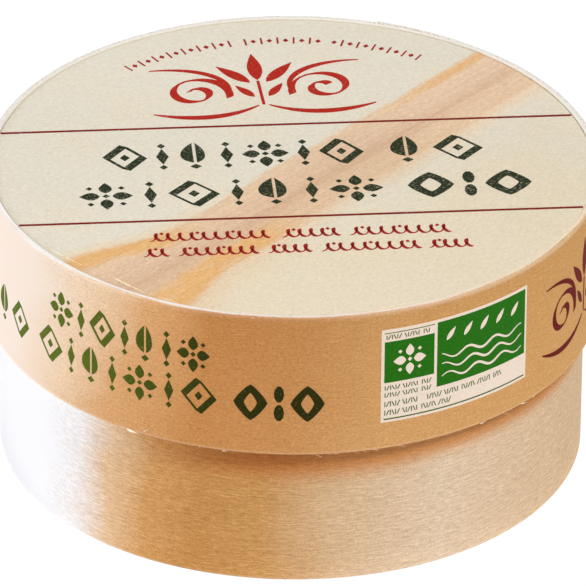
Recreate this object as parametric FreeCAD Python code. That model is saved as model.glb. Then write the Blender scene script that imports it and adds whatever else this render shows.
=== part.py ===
"""A shut round cheese box of bent poplar veneer, in millimetres.

A deep lid sits over a slightly narrower base. Each is a hoop of veneer bent into a ring, with its
ends lapped and glued at the back, around a flat board. The lid's board lies just under the top
edge of its hoop and rests on the base's hoop. The bottom board lies just above the base's foot,
and the closed inside of the base is one solid with it.

The origin is the middle of the foot, on the surface that the box stands on. +Z is up and -Y is
the front; both laps are at the back, towards +Y.
"""
import FreeCAD, Part
import math
import os

# Driving sizes: the base
base_diameter = 110.0
base_height = 55.2
base_veneer = 1.3
bottom_recess = 0.8

# Driving sizes: the lid
lid_gap = 1.3
lid_veneer = 1.2
lid_hoop_height = 29.0
lid_board_thickness = 2.0
lid_lip = 0.3

# Fits and finish
board_fit = 0.1
edge_round = 0.2

# The laps: length along the hoop, height of the outer end's step and the glue line that shows on
# the cut edges. The angles are those of the outer ends, from +X towards +Y.
lap_length = 24.0
lap_step = 0.35
glue_line_width = 0.12
glue_line_depth = 0.25
lid_lap_angle = 74.0
base_lap_angle = 112.0

# Worked out from the driving sizes
base_radius = base_diameter / 2
lid_radius = base_radius + lid_gap + lid_veneer
lid_board_bottom = base_height
lid_board_top = lid_board_bottom + lid_board_thickness
lid_top = lid_board_top + lid_lip
lid_bottom = lid_top - lid_hoop_height


def polar(radius, angle, z=0.0):
    """The point at a radius and an angle in radians, at a height."""
    return FreeCAD.Vector(radius * math.cos(angle), radius * math.sin(angle), z)


def arc_edge(centre, radius, start, end):
    """A circular edge in the XY plane, from one angle to a larger one."""
    points = [centre + polar(radius, start + (end - start) * share) for share in (0.0, 0.5, 1.0)]
    return Part.Arc(*points).toShape()


def line_edge(start, end):
    return Part.LineSegment(start, end).toShape()


def drift_centre(start_radius, end_radius, start, end):
    """Centre and radius of the arc that leaves a circle about the origin tangentially at one
    angle and has drifted to another radius at a second angle."""
    along = end_radius * math.cos(end - start) - start_radius
    shift = (end_radius ** 2 - start_radius ** 2) / (2.0 * along)
    return polar(shift, start), start_radius - shift


def drift_edge(start_radius, end_radius, start, end):
    """That arc as an edge."""
    centre, radius = drift_centre(start_radius, end_radius, start, end)
    last = polar(end_radius, end) - centre
    last_angle = math.atan2(last.y, last.x)
    turn = (last_angle - start) % (2.0 * math.pi)
    return arc_edge(centre, radius, start, start + turn)


def hoop_plan(radius, veneer, lap_end):
    """Seen from above, a ring whose outer face swells over the lap and ends in a step."""
    lap_start = lap_end - lap_length / radius
    outer = [
        arc_edge(FreeCAD.Vector(), radius, lap_end, lap_start + 2.0 * math.pi),
        drift_edge(radius, radius + lap_step, lap_start, lap_end),
        line_edge(polar(radius + lap_step, lap_end), polar(radius, lap_end)),
    ]
    inner = Part.Wire([Part.makeCircle(radius - veneer)])
    ring = Part.Face([Part.Wire(outer), inner])
    ring.validate()
    return ring


def glue_line(radius, veneer, lap_end, z):
    """The fine groove that the glued joint leaves in a cut edge: it slants across the flat of the
    edge, from just inside the outer end's step towards the inner end."""
    lap_start = lap_end - lap_length / radius
    inset = edge_round + glue_line_width
    outermost = radius - inset
    innermost = radius - veneer + inset
    near = drift_edge(innermost, outermost, lap_start, lap_end)
    far = drift_edge(innermost - glue_line_width, outermost - glue_line_width, lap_start, lap_end)
    sides = [
        line_edge(near.Vertexes[0].Point, far.Vertexes[0].Point),
        line_edge(near.Vertexes[-1].Point, far.Vertexes[-1].Point),
    ]
    outline = Part.Wire(Part.__sortEdges__([near, far] + sides))
    groove = Part.Face(outline).extrude(FreeCAD.Vector(0, 0, glue_line_depth))
    groove.translate(FreeCAD.Vector(0, 0, z))
    return groove


def veneer_hoop(radius, veneer, bottom, top, lap_degrees):
    """A strip of veneer bent into a hoop, with eased edges and a lapped, glued joint."""
    lap_end = math.radians(lap_degrees)
    hoop = hoop_plan(radius, veneer, lap_end).extrude(FreeCAD.Vector(0, 0, top - bottom))
    hoop.translate(FreeCAD.Vector(0, 0, bottom))
    rims = [edge for edge in hoop.Edges if edge.BoundBox.ZLength < edge_round]
    hoop = hoop.makeChamfer(edge_round, rims)
    for z in (bottom, top - glue_line_depth):
        hoop = hoop.cut(glue_line(radius, veneer, lap_end, z))
    return hoop


def round_board(radius, bottom, top):
    """A flat round board with both rims eased, turned about the axis."""
    profile = [
        FreeCAD.Vector(0, 0, bottom),
        FreeCAD.Vector(radius - edge_round, 0, bottom),
        FreeCAD.Vector(radius, 0, bottom + edge_round),
        FreeCAD.Vector(radius, 0, top - edge_round),
        FreeCAD.Vector(radius - edge_round, 0, top),
        FreeCAD.Vector(0, 0, top),
    ]
    outline = Part.Face(Part.makePolygon(profile + profile[:1]))
    return outline.revolve(FreeCAD.Vector(), FreeCAD.Vector(0, 0, 1), 360)


def lid_hoop():
    return veneer_hoop(lid_radius, lid_veneer, lid_bottom, lid_top, lid_lap_angle)


def lid_board():
    return round_board(lid_radius - lid_veneer - board_fit, lid_board_bottom, lid_board_top)


def base_hoop():
    return veneer_hoop(base_radius, base_veneer, 0.0, base_height, base_lap_angle)


def base_body():
    """The bottom board and the closed inside, one solid up to the lid's board."""
    return round_board(base_radius - base_veneer - board_fit, bottom_recess, base_height)


def main():
    os.makedirs("parts", exist_ok=True)
    pieces = {
        "lid_board": lid_board(),
        "lid_hoop": lid_hoop(),
        "base_hoop": base_hoop(),
        "base_body": base_body(),
    }
    for node, shape in pieces.items():
        shape.exportStep(f"parts/{node}.step")
        box = shape.BoundBox
        print(f"{node}: {box.XLength:.2f} x {box.YLength:.2f} x {box.ZLength:.2f} mm, "
              f"{shape.Volume / 1000:.2f} cm3, valid {shape.isValid()}")


main()
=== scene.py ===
"""The looks of a shut round cheese box of poplar veneer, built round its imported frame.

Geometry Nodes bend two strips of veneer into lapped hoops, lay the side's prints on the lid's
hoop, turn the lid's board and raise the fibres along the cut edges. The board's own prints lie
flat on it. The bottom board, with the closed inside, is the frame's own node.

Lengths are in metres, and MM turns millimetres into metres. Angles round the box are measured
from +X towards +Y unless a name says otherwise.
"""
import math
from collections import namedtuple

import bmesh
import bpy
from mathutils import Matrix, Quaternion, Vector


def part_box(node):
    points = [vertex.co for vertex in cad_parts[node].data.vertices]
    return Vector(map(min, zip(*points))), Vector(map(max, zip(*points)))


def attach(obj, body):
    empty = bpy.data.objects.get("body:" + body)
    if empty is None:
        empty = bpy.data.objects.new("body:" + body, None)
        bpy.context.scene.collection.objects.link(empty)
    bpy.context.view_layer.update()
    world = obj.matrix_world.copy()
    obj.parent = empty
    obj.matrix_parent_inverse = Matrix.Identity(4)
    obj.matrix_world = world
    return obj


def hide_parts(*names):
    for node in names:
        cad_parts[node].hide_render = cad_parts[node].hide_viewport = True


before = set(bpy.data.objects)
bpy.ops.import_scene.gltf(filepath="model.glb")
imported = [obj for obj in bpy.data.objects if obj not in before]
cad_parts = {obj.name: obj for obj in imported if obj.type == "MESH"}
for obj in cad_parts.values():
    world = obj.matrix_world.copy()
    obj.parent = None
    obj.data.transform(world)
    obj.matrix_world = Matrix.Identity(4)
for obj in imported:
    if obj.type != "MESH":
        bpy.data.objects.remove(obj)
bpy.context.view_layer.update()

MM = 0.001
FULL_TURN = 2.0 * math.pi
FRONT = -0.5 * math.pi


# ---------------------------------------------------------------- sizes, from the frame
def radius_of(node):
    """The radius of a round node, from its lowest X, which no lap reaches."""
    return -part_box(node)[0].x


LID_RADIUS = radius_of("lid_hoop")
LID_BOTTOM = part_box("lid_hoop")[0].z
LID_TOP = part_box("lid_hoop")[1].z
BOARD_RADIUS = radius_of("lid_board")
BOARD_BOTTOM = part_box("lid_board")[0].z
BOARD_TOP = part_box("lid_board")[1].z
BASE_RADIUS = radius_of("base_hoop")
BASE_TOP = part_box("base_hoop")[1].z
BOARD_FIT = 0.1 * MM
LID_VENEER = LID_RADIUS - BOARD_RADIUS - BOARD_FIT
BASE_VENEER = BASE_RADIUS - radius_of("base_body") - BOARD_FIT

# The laps: where each strip's outer end lies, and the joint's own sizes
LID_LAP_END = math.radians(74.0)
BASE_LAP_END = math.radians(112.0)
LAP_LENGTH = 24.0 * MM
LAP_STEP = 0.35 * MM
GLUE_GAP = 0.03 * MM
THINNEST = 0.04 * MM

# How far the bent veneer strays from a true cylinder, and its cut edges from a true plane
SWELL = 0.14 * MM
SWELL_WAVES = 1.3
RAGGED_DEPTH = 0.09 * MM
RAGGED_REACH = 1.5 * MM
EDGE_EASE = 0.2 * MM

# The print's ink stands this far proud of the wood, and is sunk as far into it
INK_DEPTH = 0.03 * MM

# Points of a mesh that lie closer than this are one
WELD = 0.0001 * MM


# ---------------------------------------------------------------- nodes
def find(sockets, name):
    """The socket at an index, or the one in use that has a name or an identifier."""
    if isinstance(name, int):
        return sockets[name]
    return next(s for s in sockets if s.enabled and name in (s.name, s.identifier))


def arithmetic(operation):
    """A method that joins a value to another, or to a number, by a Math node."""
    return lambda value, other: value.math(operation, other)


class Value:
    """A node's output. Arithmetic on it adds Math nodes to its tree."""

    def __init__(self, tree, socket):
        self.tree = tree
        self.socket = socket

    def math(self, operation, *others):
        terms = dict(enumerate((self, *others)))
        return self.tree.add("ShaderNodeMath", {"operation": operation}, terms)

    def other(self, name):
        """Another output of the same node."""
        return Value(self.tree, find(self.socket.node.outputs, name))

    def rise(self, low, high):
        """0 up to low, 1 from high on, and a smooth rise between; low may be above high."""
        limits = {"Value": self, "From Min": low, "From Max": high}
        return self.tree.add("ShaderNodeMapRange", {"interpolation_type": "SMOOTHSTEP"}, limits)

    def split(self):
        """The three parts of a vector."""
        first = self.tree.add("ShaderNodeSeparateXYZ", inputs={0: self})
        return first, first.other("Y"), first.other("Z")

    def __rsub__(self, other):
        return self.tree.add("ShaderNodeMath", {"operation": "SUBTRACT"}, {0: other, 1: self})

    __add__ = __radd__ = arithmetic("ADD")
    __mul__ = __rmul__ = arithmetic("MULTIPLY")
    __sub__ = arithmetic("SUBTRACT")
    __truediv__ = arithmetic("DIVIDE")
    __pow__ = arithmetic("POWER")


class Tree:
    """A node tree that is built in Python."""

    def __init__(self, tree):
        self.tree = tree

    def add(self, kind, settings=None, inputs=None, out=0):
        """Adds a node of any kind: its settings first, then its inputs. Returns an output."""
        node = self.tree.nodes.new(kind)
        for name, setting in (settings or {}).items():
            if name == "stops":
                set_stops(node.color_ramp.elements, setting)
            else:
                setattr(node, name, setting)
        for name, value in (inputs or {}).items():
            socket = find(node.inputs, name)
            if isinstance(value, Value):
                self.tree.links.new(value.socket, socket)
            else:
                socket.default_value = value
        return Value(self, find(node.outputs, out)) if node.outputs else None

    def join(self, x, y, z):
        return self.add("ShaderNodeCombineXYZ", inputs={0: x, 1: y, 2: z})

    def noise(self, place, scale=1.0, detail=2.0, rough=0.5):
        settings = {"Vector": place, "Scale": scale, "Detail": detail, "Roughness": rough}
        return self.add("ShaderNodeTexNoise", inputs=settings, out="Fac")

    def stretched(self, x, length, y, width, cut, detail=2.0):
        """Noise in blotches of a length along x and a width along y, both in millimetres."""
        return self.noise(self.join(x / (length * MM), y / (width * MM), cut), detail=detail)

    def looked_at(self):
        """1 where the eye looks, also in or through something, and 0 where light is gathered."""
        ray = self.add("ShaderNodeLightPath", out="Is Camera Ray")
        either = ray.math("MAXIMUM", ray.other("Is Glossy Ray"))
        return either.math("MAXIMUM", ray.other("Is Transmission Ray"))


def set_stops(elements, stops):
    """Gives a colour ramp its stops, each a place and a tone, from left to right."""
    while len(elements) < len(stops):
        elements.new(1.0)
    for element, (place, *colour) in zip(elements, stops):
        element.position = place
        element.color = tone(*colour)


class Finish(Tree):
    """A material, with the helpers that the wood and the inks share."""

    def __init__(self, name):
        self.material = bpy.data.materials.new(name)
        self.material.use_nodes = True
        super().__init__(self.material.node_tree)
        self.tree.nodes.clear()

    def mix(self, factor, first, second, blend="MIX"):
        settings = {"data_type": "RGBA", "blend_type": blend}
        return self.add("ShaderNodeMix", settings, {"Factor": factor, "A": first, "B": second}, "Result")

    def ramp(self, value, *stops):
        return self.add("ShaderNodeValToRGB", {"stops": stops}, {"Fac": value})

    def shade(self, colour, amount):
        """The colour made lighter or darker by an amount round zero: the same in red, green and
        blue as the eye reads them, so that its hue stays."""
        grey = self.add("ShaderNodeCombineColor", inputs={i: amount for i in range(3)})
        seen = self.add("ShaderNodeGamma", inputs={"Color": colour, "Gamma": 1.0 / EYE_GAMMA})
        moved = self.mix(1.0, seen, grey, "ADD")
        return self.add("ShaderNodeGamma", inputs={"Color": moved, "Gamma": EYE_GAMMA})

    def surface(self, colour, roughness, relief, depth, shine=0.3):
        bump = self.add("ShaderNodeBump", inputs={"Distance": depth, "Height": relief})
        inputs = {"Base Color": colour, "Roughness": roughness, "Normal": bump, "Specular IOR Level": shine}
        shader = self.add("ShaderNodeBsdfPrincipled", inputs=inputs)
        self.add("ShaderNodeOutputMaterial", inputs={"Surface": shader})
        return self.material


EYE_GAMMA = 2.2


def tone(red, green, blue):
    """A colour from its display values, 0 to 255."""
    parts = [value / 255.0 for value in (red, green, blue)]
    linear = [p / 12.92 if p <= 0.04045 else ((p + 0.055) / 1.055) ** 2.4 for p in parts]
    return (*linear, 1.0)


# ---------------------------------------------------------------- wood
CREAM = tone(229, 221, 203)
WARM_CREAM = tone(231, 216, 188)


def board_wood(finish):
    """The lid's board: pale poplar, with a pink-tan heartwood streak slanting across it and the
    grain running along the streak. Returns its colour and its relief."""
    place = finish.add("ShaderNodeTexCoord", out="Object")
    slant = (0.0, 0.0, math.radians(-48.0))
    along, across, _ = finish.add("ShaderNodeMapping", inputs={"Vector": place, "Rotation": slant}).split()
    back = place.split()[1]
    fibres = finish.stretched(along, 1.5, across, 0.26, 0.0)
    lines = finish.stretched(along, 34.0, across, 0.8, 4.0, detail=3.0)
    pores = finish.noise(place, 1.0 / (0.6 * MM), detail=2.0, rough=0.7)
    clouds = finish.noise(place, 1.0 / (14.0 * MM), detail=3.0)
    warmth = across.rise(-8.0 * MM, -34.0 * MM) * (1.0 - along.rise(25.0 * MM, 55.0 * MM) * 0.8) * 0.8
    colour = finish.mix(warmth + clouds.rise(0.42, 0.7) * 0.35, CREAM, WARM_CREAM)

    # The streak bows a little, and it flares at its lower end
    bow = along.math("MAXIMUM", 0.0) ** 2.0
    flare = along.rise(-34.0 * MM, -56.0 * MM)
    centre = bow * 0.77 - along.rise(0.0, -30.0 * MM) * (2.0 * MM) + flare * (0.75 * MM) - 7.0 * MM
    half_width = 8.5 * MM - bow * 0.15 + flare * (5.25 * MM)
    wander = finish.noise(finish.join(along / (15.0 * MM), 0.0, 2.0)) - 0.5
    ragged = finish.stretched(along, 9.0, across, 0.7, 8.0, detail=3.0) - 0.5
    share = (across - centre + wander * (2.0 * MM) + ragged * (1.5 * MM)) / half_width
    heartwood = finish.ramp(
        share * 0.4 + 0.5,
        (0.06, 231, 206, 174),
        (0.16, 226, 192, 156),
        (0.30, 226, 194, 159),
        (0.40, 220, 185, 151),
        (0.47, 214, 177, 143),
        (0.56, 223, 189, 157),
        (0.72, 227, 194, 162),
        (0.86, 229, 198, 164),
    )
    # Towards both ends its edges turn orange: in broad bands below, in a thin line above
    from_top = (1.0 - share) * half_width
    from_low = (1.0 + share) * half_width
    blotches = finish.stretched(along, 11.0, across, 5.0, 3.0).rise(0.3, 0.5)
    left_band = from_top.rise(5.5 * MM, 2.5 * MM) * along.rise(-27.0 * MM, -39.0 * MM)
    low_band = (from_low - flare * (3.0 * MM)).rise(6.5 * MM, 4.0 * MM) * from_low.rise(-1.0 * MM, 1.5 * MM)
    low_band = low_band * along.rise(-12.0 * MM, -26.0 * MM)
    line = from_top.rise(2.8 * MM, 1.4 * MM) * along.rise(20.0 * MM, 48.0 * MM) * 0.85
    orange = left_band.math("MAXIMUM", low_band) * (0.55 + blotches * 0.45)
    heartwood = finish.shade(heartwood, along.rise(12.0 * MM, 42.0 * MM) * 0.028)
    heartwood = finish.mix(orange.math("MAXIMUM", line), heartwood, tone(229, 179, 118))
    halo = from_low.rise(-10.0 * MM, -1.0 * MM) * from_top.rise(-5.0 * MM, -0.5 * MM)
    colour = finish.mix(halo * along.rise(-10.0 * MM, -36.0 * MM) * 0.75, colour, tone(232, 209, 175))
    inside = share.rise(1.14, 0.96) * share.rise(-1.6, -0.9)
    colour = finish.mix(inside, colour, heartwood)
    streaky = (lines - 0.5) * (0.02 + inside * 0.08) + (fibres - 0.5) * (0.08 + inside * 0.1)
    # The board is a little paler towards the back
    streaky = streaky + back.rise(5.0 * MM, 40.0 * MM) * 0.02
    colour = finish.shade(colour, streaky + (pores - 0.47) * 0.134)
    return colour, fibres * 0.5 + pores * 0.5


# What the finishes need to know of a hoop: its sizes, the length and height of its grain in
# millimetres, how strong its grain and its mottle are, how strong its painted shadow below the lid
# and its paler foot are, how far its painted light leans towards the top, and how its tone and
# painted light run from -X to +X
Hoop = namedtuple("Hoop", "radius bottom top lap_end fleck grain mottle stain lean tones")
# The stops are partly the veneer's tan and partly painted light: the near-white stops towards -X are a
# painted highlight, the darkest ones at the front-left painted shade, and the paler ones towards +X a
# painted sheen
LID_HOOP = Hoop(
    LID_RADIUS, LID_BOTTOM, LID_TOP, LID_LAP_END, fleck=(0.7, 0.27),
    grain=0.25, mottle=0.15, stain=0.0, lean=0.07, tones=(
        (0.04, 248, 231, 217),
        (0.12, 240, 209, 175),
        (0.20, 217, 163, 108),
        (0.33, 196, 135, 73),
        (0.50, 202, 143, 84),
        (0.63, 212, 159, 100),
        (0.95, 209, 157, 94),
    ),
)
BASE_HOOP = Hoop(
    BASE_RADIUS, 0.0, BASE_TOP, BASE_LAP_END, fleck=(1.8, 0.29),
    grain=0.37, mottle=0.17, stain=1.0, lean=0.04, tones=(
        (0.08, 248, 248, 252),
        (0.13, 243, 238, 238),
        (0.18, 227, 191, 152),
        (0.25, 205, 152, 90),
        (0.34, 192, 138, 74),
        (0.45, 199, 148, 86),
        (0.58, 216, 182, 143),
        (0.75, 224, 199, 170),
        (0.97, 215, 183, 145),
    ),
)
# Painted shadow: the warm tint laid on the veneer below the lid's edge
LID_SHADOW_TINT = tone(234, 184, 130)
RIM_BACK = tone(238, 234, 226)
INNER_FACE = tone(230, 221, 203)


def hoop_wood(finish, hoop):
    """A hoop's veneer: its tone drifts from side to side, which is painted light over the veneer's
    tan, the grain runs round it, and its cut edges and its inner face are pale. Returns its colour
    and its relief."""
    place = finish.add("ShaderNodeTexCoord", out="Object")
    x, y, height = place.split()
    turn = (y.math("ARCTAN2", x) - hoop.lap_end).math("WRAP", FULL_TURN, 0.0)
    along = turn * hoop.radius
    long, high = hoop.fleck
    level = height + (finish.stretched(along, 4.0, height, 2.5, 5.0) - 0.5) * (1.2 * MM)
    grain = finish.stretched(along, long, level, high, 0.0, detail=1.0) * 0.6
    grain = grain + finish.stretched(along, long * 5.0, level, high, 7.0, detail=1.0) * 0.4
    mottle = finish.noise(place, 1.0 / (0.3 * MM), detail=1.0)
    clouds = finish.stretched(along, 20.0, height, 9.0, 1.0)
    # Painted light that changes with height: towards the top the tones slide towards those of -X, so that
    # the painted highlight there reaches further round, and the front and +X are painted darker
    lean = (height - hoop.bottom) / (hoop.top - hoop.bottom) * hoop.lean
    # 0 at -X and 1 at +X, but never near 0 behind: the painted highlight at -X stays at the front
    side = x / hoop.radius * 0.5 + 0.5 + (clouds - 0.5) * 0.06
    side = side.math("MAXIMUM", y.rise(-4.0 * MM, 42.0 * MM) * 0.34)
    dark = side.rise(0.3, 0.42)
    colour = finish.ramp(side - lean * (0.75 + side.rise(0.14, 0.26) * 0.45 - dark), *hoop.tones)
    shown = side.rise(0.07, 0.15) * (1.1 - side.rise(0.15, 0.3) * 0.1)
    streaky = (grain - 0.5) * hoop.grain + (mottle - 0.5) * hoop.mottle
    colour = finish.shade(colour, streaky * shown - lean * dark * 0.5)

    # The lid's overhang casts a warm painted shadow on the veneer below its edge,
    under = height.rise(LID_BOTTOM - 10.0 * MM, LID_BOTTOM - 3.2 * MM)
    under = under ** (1.6 + side.rise(0.6, 0.88) * 2.6) * side.rise(0.18, 0.52)
    colour = finish.mix(under * hoop.stain, colour, finish.mix(1.0, colour, LID_SHADOW_TINT, "MULTIPLY"))
    # and the colour is a little paler towards the foot
    worn = height.rise(6.0 * MM, 1.0 * MM) * side.rise(0.25, 0.55)
    colour = finish.shade(colour, worn * (0.022 * hoop.stain))
    # A little glue has stained the veneer beside the lap's outer end
    glue = along.rise(2.2 * MM, 0.4 * MM) * finish.noise(place, 1.0 / (3.0 * MM)).rise(0.4, 0.7)
    colour = finish.mix(glue * 0.5, colour, tone(176, 128, 76))

    # The inner face, and the cut edges: the upper one is pale as far out as it is flat
    reach = (x * x + y * y).math("SQRT")
    inner = reach.rise(hoop.radius - 0.6 * MM, hoop.radius - 0.8 * MM)
    colour = finish.mix(inner, colour, INNER_FACE)
    uneven = (mottle - 0.5) * (0.3 * MM)
    wander = (finish.noise(place, 1.0 / (14.0 * MM)) - 0.5) * (1.2 * MM) + uneven
    flat = (reach + wander).rise(hoop.radius - 0.1 * MM, hoop.radius - 0.65 * MM)
    flat = flat.math("MAXIMUM", y.rise(-20.0 * MM, 0.0))
    upper = (height + uneven).rise(hoop.top - 0.16 * MM, hoop.top - 0.05 * MM) * flat
    lower = height.rise(hoop.bottom + 0.2 * MM, hoop.bottom + 0.06 * MM)
    # Towards -X the lower cut edge is paler still: a painted highlight
    lower = lower * (0.4 + side.rise(0.4, 0.1) * 0.5)
    # The cut edges' colour runs from -X to +X like the veneer's: its near white at -X is partly a painted
    # highlight
    cut = finish.ramp(side, (0.15, 254, 248, 246), (0.5, 250, 232, 220), (0.9, 244, 222, 192))
    cut = finish.mix(y.rise(-10.0 * MM, 12.0 * MM), cut, RIM_BACK)
    # A painted highlight along the lower edge, where its rounding faces down into shade
    low_edge_highlight = height.rise(hoop.bottom + 0.8 * MM, hoop.bottom + 0.2 * MM)
    colour = finish.shade(colour, low_edge_highlight * 0.035)
    # A pale band along the upper edge: partly wear, partly a painted highlight that is stronger towards +X
    top_wear_and_highlight = height.rise(hoop.top - 1.1 * MM, hoop.top - 0.1 * MM) * (0.08 + side.rise(0.5, 0.8) * 0.27)
    edge = upper.math("MAXIMUM", lower).math("MAXIMUM", top_wear_and_highlight + low_edge_highlight * 0.08)
    colour = finish.mix(edge, colour, finish.shade(cut, (mottle - 0.5) * 0.08))
    return colour, grain * 0.5 + mottle * 0.5


def wood(name, parts, roughness=0.7, depth=0.06 * MM):
    """A bare wood finish, from a function that gives its colour and relief."""
    finish = Finish(name)
    colour, relief = parts(finish)
    return finish.surface(colour, roughness + (relief - 0.5) * 0.2, relief, depth)


def ink(name, parts, *colours, worn=0.1, reach=0.8):
    """Ink printed on one of the woods: the grain shows through where the ink is thin. Its colour
    goes from the first to the last across the box."""
    finish = Finish(name)
    bare, relief = parts(finish)
    place = finish.add("ShaderNodeTexCoord", out="Object")
    side = place.split()[0] / LID_RADIUS * 0.5 + 0.5
    printed = finish.mix(side.rise(0.1, 0.42), colours[0], colours[-1])
    grain = finish.noise(place, 1.0 / (0.35 * MM), detail=2.0, rough=0.7)
    printed = finish.shade(printed, (grain - 0.5) * 0.14)
    thin = (grain * 0.6 + relief * 0.4).rise(0.62 - worn, 0.74) * reach
    colour = finish.mix(thin, printed, bare)
    return finish.surface(colour, 0.6 + (relief - 0.5) * 0.2, relief, 0.06 * MM, shine=0.06)


def fibre_wood():
    """Loose fibres: pale and plain, a little darker in places."""
    finish = Finish("loose_fibre")
    place = finish.add("ShaderNodeTexCoord", out="Object")
    grain = finish.noise(place, 1.0 / (1.2 * MM))
    colour = finish.mix(grain.rise(0.4, 0.8), tone(255, 240, 214), tone(236, 202, 160))
    return finish.surface(colour, 0.65 + (grain - 0.5) * 0.2, grain, 0.02 * MM)


def bottom_wood(finish):
    """The bottom board: plain poplar, its grain along X."""
    place = finish.add("ShaderNodeTexCoord", out="Object")
    along, across, _ = place.split()
    fibres = finish.stretched(along, 5.0, across, 0.35, 0.0, detail=3.0)
    lines = finish.stretched(along, 40.0, across, 2.0, 4.0)
    colour = finish.mix(lines.rise(0.35, 0.7), tone(226, 204, 168), tone(236, 220, 192))
    return finish.shade(colour, (fibres - 0.5) * 0.06), fibres


def lid_hoop_wood(finish):
    return hoop_wood(finish, LID_HOOP)


def base_hoop_wood(finish):
    return hoop_wood(finish, BASE_HOOP)


DARK_GREEN = tone(34, 44, 22)
OLIVE_BLACK = tone(44, 44, 8)
OLIVE_GREEN = tone(92, 108, 26)
BRICK_RED = tone(178, 40, 26)
RULE_RED = tone(124, 34, 26)
SCRIPT_RED = tone(156, 36, 30)
DARK_RED = tone(104, 16, 14)
LABEL_PALE = tone(240, 222, 204)
LABEL_GREEN = tone(37, 108, 16)
LABEL_INK = tone(66, 98, 32)


# ---------------------------------------------------------------- Geometry Nodes
class Shape(Tree):
    """A Geometry Nodes tree. Its first input and its output are the geometry; the other inputs
    are the named sizes, which the modifier sets."""

    def __init__(self, name, sizes):
        group = bpy.data.node_groups.new(name, "GeometryNodeTree")
        super().__init__(group)
        face = group.interface
        face.new_socket("Geometry", in_out="OUTPUT", socket_type="NodeSocketGeometry")
        face.new_socket("Geometry", in_out="INPUT", socket_type="NodeSocketGeometry")
        self.sizes = sizes
        self.identifiers = {}
        for size, value in sizes.items():
            kind = "NodeSocketInt" if isinstance(value, int) else "NodeSocketFloat"
            self.identifiers[size] = face.new_socket(size, in_out="INPUT", socket_type=kind).identifier
        self.source = self.add("NodeGroupInput")
        self.inputs = {size: self.source.other(size) for size in sizes}

    def named(self, name):
        return self.add("GeometryNodeInputNamedAttribute", {"data_type": "FLOAT_VECTOR"}, {"Name": name})

    def store(self, geometry, name, value):
        settings = {"data_type": "FLOAT_VECTOR", "domain": "POINT"}
        inputs = {"Geometry": geometry, "Name": name, "Value": value}
        return self.add("GeometryNodeStoreNamedAttribute", settings, inputs)

    def random(self, low, high, seed):
        inputs = {"Min": low, "Max": high, "Seed": seed}
        return self.add("FunctionNodeRandomValue", {"data_type": "FLOAT"}, inputs, "Value")

    def swollen(self, angle, radius, height):
        """A point round the box, with the slow swelling that bent veneer has."""
        east = angle.math("COSINE")
        north = angle.math("SINE")
        wave = self.noise(self.join(east, north, height / radius), SWELL_WAVES) - 0.5
        reach = radius + (wave - 0.2) * self.inputs["Swell"]
        return self.join(east * reach, north * reach, height)

    def finish(self, geometry, place, material):
        """Ends the tree: moves the points, realizes the instances and sets the material."""
        moved = self.add("GeometryNodeSetPosition", inputs={"Geometry": geometry, "Position": place})
        real = self.add("GeometryNodeRealizeInstances", inputs={"Geometry": moved})
        smooth = self.add("GeometryNodeSetShadeSmooth", inputs={"Geometry": real})
        done = self.add("GeometryNodeSetMaterial", inputs={"Geometry": smooth, "Material": material})
        self.add("NodeGroupOutput", inputs={0: done})


def add_object(name, data):
    """A new object in the scene."""
    made = bpy.data.objects.new(name, data)
    bpy.context.scene.collection.objects.link(made)
    return made


def grown(name, start, shape, sharp=None):
    """A plain mesh object: what the tree makes of a starting mesh."""
    seed = add_object(name + "_seed", start)
    modifier = seed.modifiers.new(name, "NODES")
    modifier.node_group = shape.tree
    for size, value in shape.sizes.items():
        modifier[shape.identifiers[size]] = value
    evaluated = seed.evaluated_get(bpy.context.evaluated_depsgraph_get())
    mesh = bpy.data.meshes.new_from_object(evaluated)
    bpy.data.objects.remove(seed)
    return piece_of(name, mesh, sharp)


def piece_of(name, mesh, sharp=None):
    """A piece in the scene, closed, with its faces pointing outwards."""
    work = bmesh.new()
    work.from_mesh(mesh)
    bmesh.ops.remove_doubles(work, verts=work.verts, dist=WELD)
    bmesh.ops.recalc_face_normals(work, faces=work.faces)
    work.to_mesh(mesh)
    work.free()
    mesh.name = name
    if sharp is not None:
        mesh.set_sharp_from_angle(angle=math.radians(sharp))
    return add_object(name, mesh)


def bare_mesh(name, points=(), edges=(), faces=()):
    mesh = bpy.data.meshes.new(name)
    mesh.from_pydata([tuple(p) for p in points], edges, faces)
    return mesh


# ---------------------------------------------------------------- hoops and board
EASE_STEPS = 4
ROW_HEIGHT = 1.2 * MM
STRIP_STEP = 0.6 * MM


def veneer_section(veneer, bottom, top):
    """The strip's cross-section as a closed outline: X is depth from the outer face, Z height.
    Its outer side has a row of points every 1.2 mm, and more beside the eased edges."""
    low, high = bottom + EDGE_EASE, top - EDGE_EASE
    near, far = -EDGE_EASE, EDGE_EASE - veneer
    rows = round((top - bottom) / ROW_HEIGHT)
    outer = [low, low + EDGE_EASE]
    outer += [bottom + (top - bottom) * row / rows for row in range(1, rows)]
    outer += [high - EDGE_EASE, high]
    eased = []
    for quarter, (depth, height) in enumerate(((near, high), (far, high), (far, low), (near, low))):
        for step in range(EASE_STEPS + 1):
            angle = 0.5 * math.pi * (quarter + step / EASE_STEPS)
            eased.append((depth + EDGE_EASE * math.cos(angle), 0.0, height + EDGE_EASE * math.sin(angle)))
    points = [(0.0, 0.0, height) for height in outer] + eased[1:-1]
    ring = [(i, (i + 1) % len(points)) for i in range(len(points))]
    return bare_mesh("section", points, ring)


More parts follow.
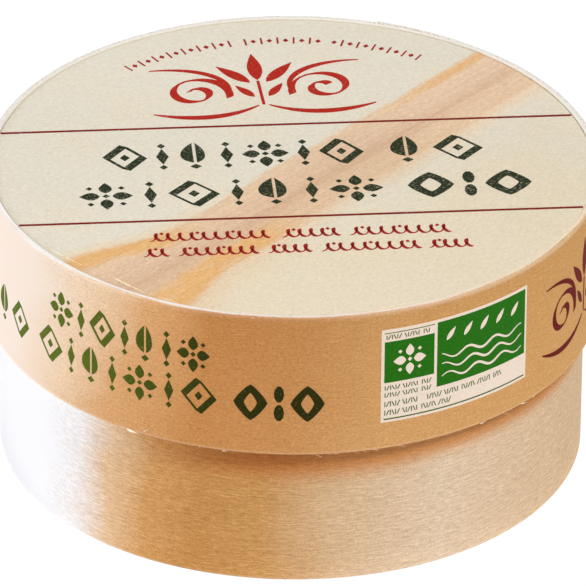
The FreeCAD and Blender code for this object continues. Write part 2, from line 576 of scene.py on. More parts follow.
def veneer_hoop(name, hoop, veneer, seed, material):
    """A straight strip of veneer, bent into a hoop whose thinned ends lap each other."""
    sizes = {
        "Radius": hoop.radius, "Veneer": veneer, "Bottom": hoop.bottom, "Top": hoop.top,
        "Lap End": hoop.lap_end, "Lap Length": LAP_LENGTH, "Lap Step": LAP_STEP,
        "Glue Gap": GLUE_GAP, "Swell": SWELL, "Ragged Depth": RAGGED_DEPTH, "Seed": seed,
    }
    shape = Shape(name + "_bending", sizes)
    size = shape.inputs
    length = size["Radius"] * FULL_TURN + size["Lap Length"]
    line = shape.add("GeometryNodeCurvePrimitiveLine", inputs={"End": shape.join(length, 0.0, 0.0)})
    steps = round((FULL_TURN * hoop.radius + LAP_LENGTH) / STRIP_STEP)
    path = shape.add("GeometryNodeResampleCurve", inputs={"Curve": line, "Count": steps})
    travel = shape.add("GeometryNodeSplineParameter", out="Length")
    path = shape.store(path, "strip", shape.join(travel, 0.0, 0.0))
    section = shape.add("GeometryNodeMeshToCurve", inputs={"Mesh": shape.source})
    section = shape.store(section, "section", shape.add("GeometryNodeInputPosition"))
    inputs = {"Curve": path, "Profile Curve": section, "Fill Caps": True}
    strip = shape.add("GeometryNodeCurveToMesh", inputs=inputs)

    travel = shape.named("strip").split()[0]
    depth, _, height = shape.named("section").split()
    inner_lap = (1.0 - travel / size["Lap Length"]).math("MAXIMUM", 0.0)
    outer_lap = (1.0 - (length - travel) / size["Lap Length"]).math("MAXIMUM", 0.0)
    spare = size["Veneer"] - THINNEST
    outside = size["Radius"] - inner_lap * spare + outer_lap ** 2.0 * size["Lap Step"]
    glued = (outer_lap * 20.0).math("MINIMUM", 1.0) * size["Glue Gap"]
    inside = size["Radius"] - size["Veneer"] + outer_lap * size["Veneer"] + glued
    share = depth / size["Veneer"] * -1.0
    radius = outside + (inside - outside) * share

    angle = size["Lap End"] - (length - travel) / size["Radius"]
    edge_place = shape.join(angle.math("COSINE"), angle.math("SINE"), size["Seed"])
    slow = shape.noise(edge_place, 5.0)
    fast = shape.noise(edge_place, 70.0, detail=3.0, rough=0.7)
    ragged = (slow * 0.5 + fast * 0.5) * size["Ragged Depth"]
    low_edge = (1.0 - (height - size["Bottom"]) / RAGGED_REACH).math("MAXIMUM", 0.0)
    high_edge = (1.0 - (size["Top"] - height) / RAGGED_REACH).math("MAXIMUM", 0.0)
    height = height + (low_edge - high_edge) * ragged
    bent = shape.swollen(angle, radius, height)
    shape.finish(strip, bent, material)
    return grown(name, veneer_section(veneer, hoop.bottom, hoop.top), shape, sharp=50.0)


def lid_board(material):
    """The lid's board, with eased and slightly uneven rims."""
    sizes = {"Radius": BOARD_RADIUS, "Bottom": BOARD_BOTTOM, "Top": BOARD_TOP, "Unevenness": 0.12 * MM}
    shape = Shape("lid_board_turning", sizes)
    size = shape.inputs
    inputs = {
        "Vertices": 420, "Side Segments": 1, "Fill Segments": 1,
        "Radius": size["Radius"], "Depth": size["Top"] - size["Bottom"],
    }
    disc = shape.add("GeometryNodeMeshCylinder", {"fill_type": "NGON"}, inputs)
    x, y, z = shape.add("GeometryNodeInputPosition").split()
    wander = shape.noise(shape.join(x / size["Radius"], y / size["Radius"], 3.0), 9.0, detail=4.0)
    shrink = 1.0 - wander * size["Unevenness"] / size["Radius"]
    lifted = z + (size["Top"] + size["Bottom"]) * 0.5
    shape.finish(disc, shape.join(x * shrink, y * shrink, lifted), material)
    board = grown("lid_board_panel", bare_mesh("blank"), shape)
    ease = board.modifiers.new("ease", "BEVEL")
    ease.width = 0.25 * MM
    ease.segments = 3
    ease.limit_method = "ANGLE"
    return settled(board, sharp=20.0)


def settled(piece, sharp):
    """The piece with its modifiers worked into its mesh."""
    evaluated = piece.evaluated_get(bpy.context.evaluated_depsgraph_get())
    mesh = bpy.data.meshes.new_from_object(evaluated)
    mesh.set_sharp_from_angle(angle=math.radians(sharp))
    piece.modifiers.clear()
    piece.data = mesh
    return piece


# ---------------------------------------------------------------- printed shapes
# A printed shape is a pair of chains of points, in millimetres on the print's own plane, with
# the ink between them. A third value can give its level among the shapes that it crosses.
def stroke(points, width):
    """A stroke along a line. Its width is a number, or a function of the share travelled."""
    points = [Vector(p) for p in points]
    last = len(points) - 1
    left, right = [], []
    for i, point in enumerate(points):
        way = (points[min(i + 1, last)] - points[max(i - 1, 0)]).normalized()
        wide = width(i / last) if callable(width) else width
        normal = Vector((-way.y, way.x)) * wide * 0.5
        left.append(point + normal)
        right.append(point - normal)
    return left, right


def pen(points, nib, hair=0.0):
    """The mark of a broad nib, held at one angle, along a line. It is cut where the line runs the
    way the nib points, so that it never folds over. A hair line can keep the thin parts whole."""
    half = Vector(nib) * 0.5
    points = [Vector(p) for p in points]
    parts, side = [[points[0]]], None
    for start, end in zip(points, points[1:]):
        turns_left = (end - start).cross(half) > 0.0
        if side is not None and turns_left != side:
            parts.append([start])
        side = turns_left
        parts[-1].append(end)
    marks = [([p - half for p in part], [p + half for p in part], i % 3) for i, part in enumerate(parts)]
    return marks + ([(*stroke(points, hair), 3)] if hair else [])


def bezier(start, start_pull, end_pull, end, count=22):
    points = [Vector(p) for p in (start, start_pull, end_pull, end)]
    shares = [i / count for i in range(count + 1)]
    return [
        points[0] * (1 - t) ** 3 + points[1] * 3 * t * (1 - t) ** 2
        + points[2] * 3 * t * t * (1 - t) + points[3] * t ** 3
        for t in shares
    ]


def spiral(centre, start_radius, end_radius, start, turns, count=40):
    """Points that wind in from one radius to another; the angle starts in degrees."""
    points = []
    for i in range(count + 1):
        share = i / count
        radius = start_radius + (end_radius - start_radius) * share ** 0.8
        angle = math.radians(start + 360.0 * turns * share)
        points.append(Vector(centre) + Vector((math.cos(angle), math.sin(angle))) * radius)
    return points


def swelling(thin, thick):
    """A width that is thin at both ends of a stroke and thick in its middle."""
    return lambda share: thin + (thick - thin) * math.sin(math.pi * share)


def leaf(base, tip, width):
    """A pointed leaf from its base to its tip."""
    base, tip = Vector(base), Vector(tip)
    points = [base.lerp(tip, i / 12) for i in range(13)]
    return [stroke(points, lambda share: 0.08 + width * math.sin(math.pi * share ** 0.8))]


def block(left, low, right, high):
    return [([(left, low), (right, low)], [(left, high), (right, high)])]


def diamond(x, y, width, height):
    left, right = (x - width / 2, y), (x + width / 2, y)
    return [([left, (x, y + height / 2), right], [left, (x, y - height / 2), right])]


# Each motif is drawn round its middle, and is as wide and as high as its room.
def lozenge(x, y, wide, high):
    """An open lozenge of thick and thin strokes, with a small diamond in its middle."""
    nib = (0.15 * high, -0.085 * high)
    across, up = (wide - nib[0]) / 2, (high + nib[1]) / 2
    corners = [(x - across, y), (x, y + up), (x + across, y), (x, y - up), (x - across, y)]
    shapes = []
    for level, side in enumerate(zip(corners, corners[1:])):
        shapes += [(first, second, level) for first, second, _ in pen(side, nib)]
    return shapes + diamond(x, y, wide * 0.22, high * 0.25)


def beads(x, y, wide, high):
    """Three diamonds one above the other, the middle one tall."""
    shapes = diamond(x, y, 0.24 * high, 0.6 * high)
    for side in (-1.0, 1.0):
        shapes += diamond(x, y + side * 0.41 * high, 0.16 * high, 0.18 * high)
    return shapes


def cleft_leaf(x, y, wide, high):
    """A pointed leaf, parted by a bare vein, over a small diamond."""
    low, top = y - high * 0.26, y + high / 2
    shapes = []
    for side, full in ((-1.0, 0.6), (1.0, 0.44)):
        outer = bezier((x + side * 0.03 * high, low), (x + side * wide * full, y - high * 0.14),
                       (x + side * wide * full * 0.8, y + high * 0.24), (x + side * 0.02 * high, top), 12)
        inner = [(x + side * 0.03 * high, low + (top - low) * i / 12) for i in range(13)]
        inner[-1] = (x + side * 0.02 * high, top)
        shapes.append((outer, inner))
    return shapes + diamond(x, y - high * 0.41, 0.22 * high, 0.18 * high)


def rosette(x, y, wide, high):
    """Four leaves set crosswise round a small diamond, with a dot between each two."""
    shapes = []
    for across, up in ((0, 1), (1, 0), (0, -1), (-1, 0)):
        near = (x + across * wide * 0.12, y + up * high * 0.12)
        far = (x + across * wide * 0.5, y + up * high * 0.5)
        shapes += leaf(near, far, 0.24 * high if up else 0.27 * high)
    for across, up in ((1, 1), (1, -1), (-1, -1), (-1, 1)):
        shapes += diamond(x + across * wide * 0.3, y + up * high * 0.3, 0.13 * high, 0.13 * high)
    return shapes + diamond(x, y, 0.14 * high, 0.14 * high)


def heavy_lozenge(x, y, wide, high):
    """An open lozenge with blunt corners, drawn with an even, heavy line."""
    line = 0.21 * high
    rings = []
    for across, up in ((wide / 2, high / 2), (wide / 2 - line * 1.2, high / 2 - line * 1.1)):
        ring = []
        for i in range(25):
            east, north = math.cos(FULL_TURN * i / 24), math.sin(FULL_TURN * i / 24)
            reach = (abs(east) ** 1.2 + abs(north) ** 1.2) ** (-1.0 / 1.2)
            ring.append((x + across * reach * east, y + up * reach * north))
        ring[-1] = ring[0]
        rings.append(ring)
    return [tuple(rings)]


def heavy_beads(x, y, wide, high):
    """Two heavy diamonds with blunt corners, one above the other."""
    shapes = []
    for side in (-1.0, 1.0):
        line = [(x, y + high * (side * 0.26 + share)) for share in (-0.22, -0.13, 0.0, 0.13, 0.22)]
        shapes.append(stroke(line, lambda share: high * (0.08 + 0.17 * math.sin(math.pi * share))))
    return shapes


ROOM = {lozenge: 2.5, beads: 0.9, cleft_leaf: 1.9, rosette: 2.6, heavy_lozenge: 2.7, heavy_beads: 1.0}
ROOM_BETWEEN = 0.4


def row(motifs, left, right, low, high):
    """A row of motifs that fills the room from left to right."""
    unit = (right - left) / (sum(ROOM[m] for m in motifs) + ROOM_BETWEEN * (len(motifs) - 1))
    shapes = []
    for motif in motifs:
        wide = ROOM[motif] * unit
        shapes += motif(left + wide / 2, (low + high) / 2, wide, high - low)
        left += wide + ROOM_BETWEEN * unit
    return shapes


def running_wave(left, right, base, height, nib, hair):
    """A running wave drawn with a broad nib, with a dot over every third trough."""
    waves = max(1, round((right - left) / (height * 0.78)))
    count = waves * 12
    points = [
        (left + (right - left) * i / count + 0.2 * height * math.sin(FULL_TURN * waves * i / count),
         base + height * (0.5 - 0.5 * math.cos(FULL_TURN * waves * i / count)))
        for i in range(count + 1)
    ]
    shapes = pen(points, nib, hair)
    for trough in range(1, waves, 3):
        x = left + (right - left) * trough / waves
        shapes += diamond(x, base + height * 0.95, height * 0.3, height * 0.36)
    return shapes


def scroll_ornament():
    """Two mirrored scrolls on a long flourish, with a sprig of leaves between them, about 44 wide
    and 26 high round the origin."""
    shapes = []
    for side in (-1.0, 1.0):
        arm = [(side * p.x, p.y) for p in spiral((12.5, -1.5), 6.8, 1.3, 200.0, -1.45)]
        shapes += pen(arm, (1.5, 0.9), 0.5)
        rise = bezier((side * 5.9, -3.0), (side * 4.6, 3.5), (side * 10.5, 8.8), (side * 20.5, 8.2))
        shapes.append(stroke(rise, swelling(0.3, 1.3)))
        sweep = bezier((side * 1.0, -7.6), (side * 7.5, -12.4), (side * 15.0, -12.0), (side * 21.6, -9.0))
        shapes.append(stroke(sweep, swelling(0.35, 1.6)))
        shapes += leaf((side * 1.6, 1.5), (side * 7.4, 8.6), 2.4)
        shapes += leaf((side * 1.4, -4.2), (side * 4.6, 0.6), 1.7)
    shapes += leaf((0.0, 2.4), (0.0, 12.8), 2.8)
    shapes.append(stroke([(0.0, -7.4), (0.0, -3.0), (0.0, 2.0)], 0.6))
    return shapes


def arc_ornament(radius, start, end, height):
    """Fine dashes and diamonds by turns along an arc, in three groups; the angles are in degrees."""
    shapes = []
    spacing, bare = 1.55, (15, 26)
    count = int(math.radians(start - end) * radius / spacing)
    for i in range(count + 1):
        if i in bare:
            continue
        angle = math.radians(start + (end - start) * i / count)
        out = Vector((math.cos(angle), math.sin(angle)))
        across = Vector((out.y, -out.x))
        middle = out * radius
        if i % 2:
            ends = [middle - across * 0.55, middle + across * 0.55]
            shapes.append(([ends[0], middle + out * 0.7, ends[1]], [ends[0], middle - out * 0.7, ends[1]]))
        else:
            shapes.append(stroke([middle - out * height / 2, middle + out * height / 2], 0.36))
    return shapes


def turned(shapes, degrees=0.0, scale=1.0, shift=(0.0, 0.0)):
    """The shapes scaled, turned about the origin and then moved."""
    angle = math.radians(degrees)
    cosine, sine = math.cos(angle) * scale, math.sin(angle) * scale

    def placed(p):
        return (p[0] * cosine - p[1] * sine + shift[0], p[0] * sine + p[1] * cosine + shift[1])

    return [
        ([placed(p) for p in first], [placed(p) for p in second], *level)
        for first, second, *level in shapes
    ]


LEVEL_STEP = 0.0025 * MM


def ink_blank(shapes, layer, step=1.4):
    """The shapes as thin closed slabs of ink on a flat print: X and Y lie along the print and Z
    is the height of the ink over the wood. Neighbours lie at slightly different levels, so that
    no two faces share a plane where strokes cross."""
    points, faces = [], []
    for i, (first, second, *level) in enumerate(shapes):
        lift = (level[0] if level else 4 + i % 4) * LEVEL_STEP
        both = even_chains(first, second, step)
        widest = max((a - b).length for a, b in zip(*both))
        rows = max(1, math.ceil(widest / (step * 1.6)))
        add_slab(points, faces, both, rows, INK_DEPTH * layer + lift, INK_DEPTH * (layer - 2) + lift)
    return bare_mesh("ink", points, (), faces)


def even_chains(first, second, step):
    """Both chains divided alike, by whichever of their runs is longer."""
    out = ([Vector(first[0])], [Vector(second[0])])
    for i in range(1, len(first)):
        runs = [(Vector(c[i - 1]), Vector(c[i])) for c in (first, second)]
        pieces = max(1, *(math.ceil((b - a).length / step) for a, b in runs))
        for chain, (a, b) in zip(out, runs):
            chain += [a.lerp(b, (k + 1) / pieces) for k in range(pieces)]
    return out


def add_slab(points, faces, chains, rows, top, bottom):
    """Adds a closed slab between two chains, as a grid of faces above, another below and a wall
    round them."""
    count = len(chains[0])
    start = len(points)
    for height in (top, bottom):
        for r in range(rows + 1):
            for a, b in zip(*chains):
                p = a.lerp(b, r / rows) * MM
                points.append((p.x, p.y, height))
    under = (rows + 1) * count

    def at(r, i, below=0):
        return start + below * under + r * count + i

    for below in (0, 1):
        for r in range(rows):
            for i in range(count - 1):
                corners = ((r, i), (r, i + 1), (r + 1, i + 1), (r + 1, i))
                faces.append(tuple(at(*corner, below) for corner in corners))
    for i in range(count - 1):
        for r in (0, rows):
            faces.append((at(r, i), at(r, i + 1), at(r, i + 1, 1), at(r, i, 1)))
    closed = all((chain[0] - chain[-1]).length * MM < WELD for chain in chains)
    for r in range(rows):
        for i in () if closed else (0, count - 1):
            faces.append((at(r, i), at(r + 1, i), at(r + 1, i, 1), at(r, i, 1)))


def flat_print(name, shapes, material, layer=1):
    """Ink on the lid's board."""
    mesh = ink_blank(shapes, layer, step=4.0)
    for vertex in mesh.vertices:
        vertex.co.z += BOARD_TOP
    mesh.materials.append(material)
    return piece_of(name, mesh)


def round_print(name, shapes, material, layer=1):
    """Ink on the lid's hoop: X of the flat print goes round it from the front, and Y is height
    over the lid's lower edge."""
    shape = Shape(name + "_rolling", {"Radius": LID_RADIUS, "Bottom": LID_BOTTOM, "Swell": SWELL})
    size = shape.inputs
    travel, height, proud = shape.add("GeometryNodeInputPosition").split()
    angle = travel / size["Radius"] + FRONT
    bent = shape.swollen(angle, size["Radius"], height + size["Bottom"])
    east, north, up = bent.split()
    outward = 1.0 + proud / size["Radius"]
    shape.finish(shape.source, shape.join(east * outward, north * outward, up), material)
    return grown(name, ink_blank(shapes, layer), shape, sharp=30.0)


# ---------------------------------------------------------------- the prints
PRINT_TURN = 4.9


LONG_ROW = (lozenge, beads, cleft_leaf, beads, rosette, beads, lozenge)
OTHER_ROW = (rosette, beads, lozenge, beads, cleft_leaf, beads, rosette)
HEAVY_ROW = (heavy_lozenge, heavy_beads, heavy_lozenge)


def board_prints():
    """The lid's top: two rules with two rows of dark motifs between them, an ornament in an arc
    of small marks above, and two lines of running waves below. Sizes are in millimetres."""
    greens = ink("dark_green_ink_on_board", board_wood, DARK_GREEN)
    reds = ink("brick_red_ink_on_board", board_wood, BRICK_RED, worn=0.05, reach=0.6)
    rules = ink("rule_ink_on_board", board_wood, RULE_RED, worn=0.05, reach=0.6)
    scripts = ink("script_ink_on_board", board_wood, SCRIPT_RED, worn=0.05, reach=0.6)
    titles = row(LONG_ROW, -35.4, 13.6, -0.6, 9.2)
    titles += row((cleft_leaf, lozenge), 18.0, 36.0, -0.6, 9.2)
    titles += row(OTHER_ROW, -40.6, 16.0, -14.8, -5.0)
    titles += row(HEAVY_ROW, 20.6, 43.8, -14.2, -4.8)
    lines = block(-53.8, 14.88, 53.8, 15.54) + block(-52.3, -20.03, 52.3, -19.37)
    script = []
    for base, ends in (
        (-27.2, ((-28.5, -6.5), (-4.0, 6.5), (8.5, 27.0))),
        (-32.8, ((-30.0, -25.5), (-23.5, -9.0), (-7.0, 0.8), (2.8, 21.0), (22.6, 30.5))),
    ):
        for left, right in ends:
            script += running_wave(left, right, base, height=2.8, nib=(0.55, 0.4), hair=0.3)
    emblem = turned(scroll_ornament(), 3.0, 0.98, (-4.0, 30.4))
    marks = arc_ornament(48.0, 126.0, 55.6, 2.4)
    layout = (
        ("lid_title_print", "green_ink", titles, greens),
        ("lid_rules_print", "red_ink", lines, rules),
        ("lid_script_print", "red_ink", script + marks, scripts),
        ("lid_emblem_print", "red_ink", emblem, reds),
    )
    return [
        (flat_print(name, turned(shapes, PRINT_TURN), finish), slot)
        for name, slot, shapes, finish in layout
    ]


def degrees_round(angle):
    """Millimetres round the lid's hoop from the front, for an angle in degrees."""
    return math.radians(angle) * LID_RADIUS / MM


def side_prints():
    """The lid's side: motifs in two rows on the left, a label in the middle and an ornament on
    the right. Heights are in millimetres over the lid's lower edge."""
    at = degrees_round
    greens = ink("green_ink_on_hoop", lid_hoop_wood, OLIVE_GREEN, OLIVE_BLACK, worn=0.04)
    maroon = ink("dark_red_ink_on_hoop", lid_hoop_wood, DARK_RED, worn=0.02, reach=0.5)
    pale = ink("pale_ink_on_hoop", lid_hoop_wood, LABEL_PALE, worn=0.0, reach=0.4)
    label = ink("mid_green_ink_on_hoop", lid_hoop_wood, LABEL_GREEN, worn=0.0, reach=0.2)
    fine_ink = ink("fine_green_ink_on_hoop", lid_hoop_wood, LABEL_INK, worn=0.0, reach=0.5)
    titles = row(OTHER_ROW, at(-50.5), at(-15.0), 15.8, 23.3)
    titles += row((cleft_leaf, lozenge), at(-70.5), at(-57.5), 7.2, 14.7)
    titles += row(LONG_ROW, at(-54.0), at(-13.6), 7.2, 14.7)
    titles += row(HEAVY_ROW, at(-10.5), at(6.2), 7.1, 14.7)
    panel = block(at(16.6), 5.6, at(48.6), 25.2)
    squares = block(at(17.2), 14.0, at(27.0), 22.6) + block(at(27.6), 11.0, at(48.1), 24.6)
    fine = block(at(17.2), 24.35, at(27.0), 24.5) + block(at(17.2), 6.15, at(48.1), 6.4)
    for low, start, end, high in (
        (23.1, 17.6, 26.6, 0.9), (12.4, 17.4, 26.8, 0.9), (10.9, 17.4, 26.8, 0.9),
        (8.9, 17.4, 25.0, 1.05), (8.9, 25.8, 42.5, 1.05), (7.1, 17.4, 31.2, 1.05),
    ):
        fine += small_marks(at(start), at(end), low, high)
    middle = (at(17.2) + at(27.0)) / 2
    motifs = rosette(middle, 18.3, 6.4, 6.4)
    left, right = at(28.6), at(47.1)
    for i in range(3):
        low = 13.0 + i * 2.1
        wave = [
            (left + (right - left) * k / 36, low + 0.65 * math.sin(FULL_TURN * k / 12 + i))
            for k in range(37)
        ]
        motifs.append(stroke(wave, swelling(0.18, 0.5)))
    for i in range(5):
        x = left + (right - left) * (i + 0.5) / 5
        motifs += leaf((x - 0.9, 20.4), (x + 0.9, 22.8), 0.9)
    ornament = turned(scroll_ornament(), 0.0, 0.78, (at(70.6), 14.6))
    layout = (
        ("side_title_print", "green_ink", titles, greens, 1),
        ("side_panel_print", "panel_ink", panel, pale, 1),
        ("side_square_print", "bright_green_ink", squares, label, 2),
        ("side_fine_print", "green_ink", fine, fine_ink, 2),
        ("side_motif_print", "panel_ink", motifs, pale, 3),
        ("side_emblem_print", "red_ink", ornament, maroon, 1),
    )
    return [
        (round_print(name, shapes, finish, layer), slot)
        for name, slot, shapes, finish, layer in layout
    ]


def small_marks(left, right, low, height):
    """A line of small upright and slanting dashes, in groups."""
    shapes = []
    pitch = 0.52
    for i in range(int((right - left) / pitch)):
        if i % 7 == 6:
            continue
        x = left + i * pitch
        lean = (0.0, 0.22, 0.0, -0.22)[i % 4]
        shapes.append(stroke([(x - lean, low), (x + lean, low + height)], 0.17))
    return shapes


# ---------------------------------------------------------------- fibres
def held(part, low, high):
    """The value eased in between two limits, so that what is pressed flat there never folds."""
    for limit, inward in ((low, 1.0), (high, -1.0)):
        depth = (part - limit) * inward
        part = ((depth * depth + (0.05 * MM) ** 2) ** 0.5 + depth) * (0.5 * inward) + limit
    return part


def edge_fibres(name, radius, height, count, longest, seed, material):
    """Short curved fibres that stand out along a cut edge, a few faces each."""
    sizes = {
        "Radius": radius, "Height": height, "Count": count, "Longest": longest,
        "Thickness": 0.035 * MM, "Seed": seed,
    }
    shape = Shape(name + "_scattering", sizes)
    size = shape.inputs
    angle = shape.random(0.0, FULL_TURN, size["Seed"])
    east, north = angle.math("COSINE"), angle.math("SINE")
    drop = shape.random(-0.12 * MM, 0.12 * MM, size["Seed"] + 1.0)
    place = shape.join(east * size["Radius"], north * size["Radius"], size["Height"] + drop)
    points = shape.add("GeometryNodePoints", inputs={"Count": size["Count"], "Position": place})
    bend = shape.join(0.35, 0.16, 0.0)
    inputs = {"Start": (0.0, 0.0, 0.0), "Middle": bend, "End": (1.0, 0.05, 0.0), "Resolution": 3}
    line = shape.add("GeometryNodeCurveQuadraticBezier", inputs=inputs)
    ring = shape.add("GeometryNodeCurvePrimitiveCircle", inputs={"Resolution": 3, "Radius": 1.0})
    thick = size["Thickness"] / size["Longest"]
    inputs = {"Geometry": ring, "Scale": shape.join(thick, thick, thick)}
    slim = shape.add("GeometryNodeTransform", inputs=inputs)
    inputs = {"Curve": line, "Profile Curve": slim, "Fill Caps": True}
    fibre = shape.add("GeometryNodeCurveToMesh", inputs=inputs)
    tilt = shape.random(-0.55, 0.55, size["Seed"] + 2.0)
    lift = shape.random(-0.5, 0.5, size["Seed"] + 3.0)
    facing = angle + 0.5 * math.pi + tilt
    spin = shape.add("FunctionNodeEulerToRotation", inputs={0: shape.join(0.0, lift, facing)})
    long = shape.random(0.25, 1.0, size["Seed"] + 4.0) * size["Longest"]
    inputs = {"Points": points, "Instance": fibre, "Rotation": spin, "Scale": shape.join(long, long, long)}
    strewn = shape.add("GeometryNodeInstanceOnPoints", inputs=inputs)
    strewn = shape.add("GeometryNodeRealizeInstances", inputs={"Geometry": strewn})
    x, y, z = shape.add("GeometryNodeInputPosition").split()
    kept = [held(part, -LID_RADIUS, LID_RADIUS) for part in (x, y)] + [held(z, 0.0, LID_TOP)]
    shape.finish(strewn, shape.join(*kept), material)
    return grown(name, bare_mesh("blank"), shape)


SLIVERS = (
    # degrees from the front, height over the lid's lower edge, length, width, slope in degrees
    (-30.2, 0.1, 2.6, 0.62, -3.0),
    (-27.4, 1.15, 1.5, 0.2, 38.0),
    (-12.0, 0.05, 1.2, 0.18, 3.0),
    (38.0, 0.1, 1.4, 0.22, 8.0),
    (48.5, 0.05, 1.9, 0.2, -12.0),
    (51.5, 0.3, 1.1, 0.16, 25.0),
)
STRANDS = (
    # start and end: degrees from the front and distance from the axis; then the width
    (-55.5, 55.3, -45.0, 54.4, 0.44),
    (-37.2, 53.8, -29.0, 55.2, 0.4),
    (-26.0, 55.4, -22.0, 55.7, 0.16),
    (17.0, 55.6, 22.0, 55.3, 0.12),
)
SLIVER_RINGS = (
    # share of the length, share of the width, lift off the wood
    (-0.5, 0.35, 0.0), (-0.36, 0.95, 0.1), (-0.1, 0.85, 0.16), (0.2, 0.4, 0.14), (0.5, 0.1, 0.05),
)


def add_fibre(points, faces, rings):
    """Adds a closed four-sided fibre through rings of a centre and two half widths."""
    start = len(points)
    for centre, side, out in rings:
        points += [centre + side, centre + out, centre - side, centre - out]
    last = len(rings) - 1
    for ring in range(last):
        for k in range(4):
            a, b = start + ring * 4 + k, start + ring * 4 + (k + 1) % 4
            faces.append((a, b, b + 4, a + 4))
    faces.append(tuple(start + k for k in range(4)))
    faces.append(tuple(start + last * 4 + k for k in range(4)))


def slivers(material):
    """A few larger slivers that have lifted from the lid's lower edge, and pale strands that lie
    along its rim."""
    points, faces = [], []
    for degrees, height, length, width, slope in SLIVERS:
        angle = math.radians(degrees) + FRONT
        way = Vector((-math.sin(angle), math.cos(angle), math.tan(math.radians(slope)))).normalized()
        out = Vector((math.cos(angle), math.sin(angle), 0.0))
        middle = out * LID_RADIUS + Vector((0.0, 0.0, LID_BOTTOM + height * MM))
        rings = []
        for share, wide, lift in SLIVER_RINGS:
            centre = middle + (way * length * share + out * lift * min(1.0, width * 2.5)) * MM
            half = width * wide * 0.5 * MM
            rings.append((centre, way.cross(out) * half, out * half * 0.5))
        add_fibre(points, faces, rings)
    for first, near, second, far, width in STRANDS:
        rings = []
        for i in range(9):
            share = i / 8
            angle = math.radians(first + (second - first) * share) + FRONT
            out = Vector((math.cos(angle), math.sin(angle), 0.0))
            reach = near + (far - near) * share + 0.05 * math.sin(share * 7.0)
            half = width * 0.5 * MM * (0.25 + 0.75 * math.sin(math.pi * min(0.95, share + 0.1)))
            centre = out * reach * MM + Vector((0.0, 0.0, BOARD_TOP + 0.05 * MM))
            rings.append((centre, out * half, Vector((0.0, 0.0, 0.07 * MM))))
        add_fibre(points, faces, rings)
    mesh = bare_mesh("slivers", points, (), faces)
    mesh.materials.append(material)
    return piece_of("lid_slivers", mesh)


# ---------------------------------------------------------------- the box
LID_WOOD = wood("lid_veneer_wood", lid_hoop_wood)
BASE_WOOD = wood("base_veneer_wood", base_hoop_wood)
BOARD_WOOD = wood("lid_board_poplar", board_wood, depth=0.04 * MM)
BOTTOM_WOOD = wood("bottom_board_wood", bottom_wood)
FIBRE_WOOD = fibre_wood()

for piece, node, slot in (
    (veneer_hoop("lid_veneer_hoop", LID_HOOP, LID_VENEER, 3, LID_WOOD), "lid_hoop", "lid_veneer"),
    (veneer_hoop("base_veneer_hoop", BASE_HOOP, BASE_VENEER, 8, BASE_WOOD), "base_hoop", "base_veneer"),
    (lid_board(BOARD_WOOD), "lid_board", "lid_board_wood"),
):
    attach(piece, "root")
    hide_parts(node)

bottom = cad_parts["base_body"]
bottom.data.materials.clear()
bottom.data.materials.append(BOTTOM_WOOD)

for printed, slot in board_prints() + side_prints():
    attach(printed, "root")

EDGE_FIBRES = (
    # name, distance from the axis, height, count, longest, seed
    ("lid_lower_fibres", LID_RADIUS - 0.1 * MM, LID_BOTTOM + 0.15 * MM, 150, 1.5 * MM, 11),
    ("lid_rim_fibres", LID_RADIUS - 0.1 * MM, LID_TOP - 0.15 * MM, 90, 0.9 * MM, 23),
    ("board_rim_fibres", BOARD_RADIUS - 0.2 * MM, BOARD_TOP, 90, 1.6 * MM, 37),
    ("foot_fibres", BASE_RADIUS - 0.1 * MM, 0.35 * MM, 80, 0.9 * MM, 41),
)
for fibres in [edge_fibres(*edge, FIBRE_WOOD) for edge in EDGE_FIBRES] + [slivers(FIBRE_WOOD)]:
    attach(fibres, "root")


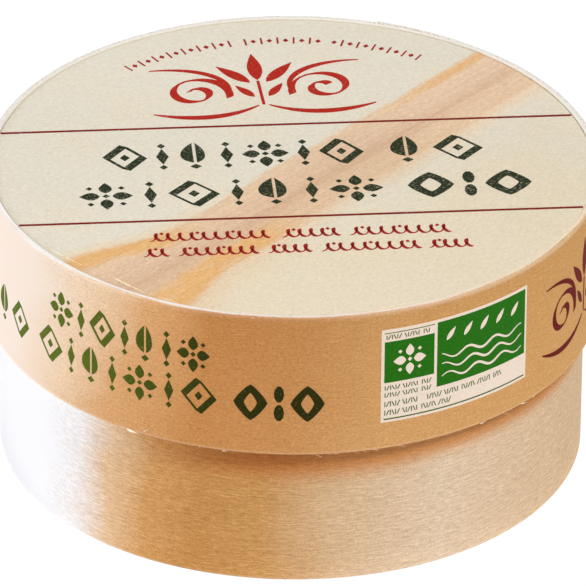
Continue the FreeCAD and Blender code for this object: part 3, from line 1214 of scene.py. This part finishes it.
# ---------------------------------------------------------------- floor, light and camera
def floor():
    """A wide pale floor that reads as white to the camera and keeps the box's soft shadow."""
    finish = Finish("pale_floor")
    matt = finish.add("ShaderNodeBsdfDiffuse", inputs={"Color": tone(236, 236, 236)})
    white = finish.add("ShaderNodeEmission", inputs={"Color": tone(255, 255, 255), "Strength": 1.1})
    mixed = finish.add("ShaderNodeMixShader", inputs={0: finish.looked_at() * 0.85, 1: matt, 2: white})
    finish.add("ShaderNodeOutputMaterial", inputs={"Surface": mixed})
    count, reach = 96, 3.0
    angles = [FULL_TURN * i / count for i in range(count)]
    rim = [(reach * math.cos(angle), reach * math.sin(angle), 0.0) for angle in angles]
    mesh = bare_mesh("floor", rim, (), [tuple(range(count))])
    mesh.materials.append(finish.material)
    add_object("floor", mesh)


def soft_sun(name, azimuth, elevation, level, spread):
    """A soft distant lamp; at level 1 a white surface that faces it renders white."""
    lamp = bpy.data.lights.new(name, "SUN")
    lamp.energy = level * math.pi
    lamp.angle = math.radians(spread)
    around, up = math.radians(azimuth), math.radians(elevation)
    back = Vector((math.sin(around) * math.cos(up), -math.cos(around) * math.cos(up), math.sin(up)))
    add_object(name, lamp).rotation_euler = back.to_track_quat("Z", "Y").to_euler()


def sky(level):
    """Plain white surroundings: full white to the camera, and dimmer as a light."""
    world = bpy.data.worlds.new("plain_sky")
    world.use_nodes = True
    tree = Tree(world.node_tree)
    tree.tree.nodes.clear()
    strength = level + tree.looked_at() * (1.0 - level)
    back = tree.add("ShaderNodeBackground", inputs={"Color": tone(255, 255, 255), "Strength": strength})
    tree.add("ShaderNodeOutputWorld", inputs={"Surface": back})
    bpy.context.scene.world = world


def camera():
    """A long lens well back from the box, looking down on its front."""
    elevation, distance, lens, roll = math.radians(29.45), 1.758, 578.6, math.radians(0.56)
    back = Vector((0.0, -math.cos(elevation), math.sin(elevation)))
    view = bpy.data.cameras.new("camera")
    view.sensor_width = 36.0
    view.lens = lens
    view.clip_start = 0.05
    view.clip_end = 30.0
    ob = add_object("camera", view)
    ob.location = Vector((0.0, 0.0, LID_TOP)) + back * distance
    aim = Vector((0.22 * MM, 0.0, LID_TOP - 28.17 * MM))
    ob.rotation_mode = "QUATERNION"
    level = (aim - ob.location).to_track_quat("-Z", "Y")
    ob.rotation_quaternion = level @ Quaternion((0.0, 0.0, 1.0), roll)
    bpy.context.scene.camera = ob


floor()
sky(level=0.33)
soft_sun("key_from_right", azimuth=42.0, elevation=50.0, level=0.66, spread=14.0)
soft_sun("key_from_left", azimuth=-82.0, elevation=14.0, level=0.49, spread=30.0)
camera()
bpy.context.scene.view_settings.view_transform = "Standard"
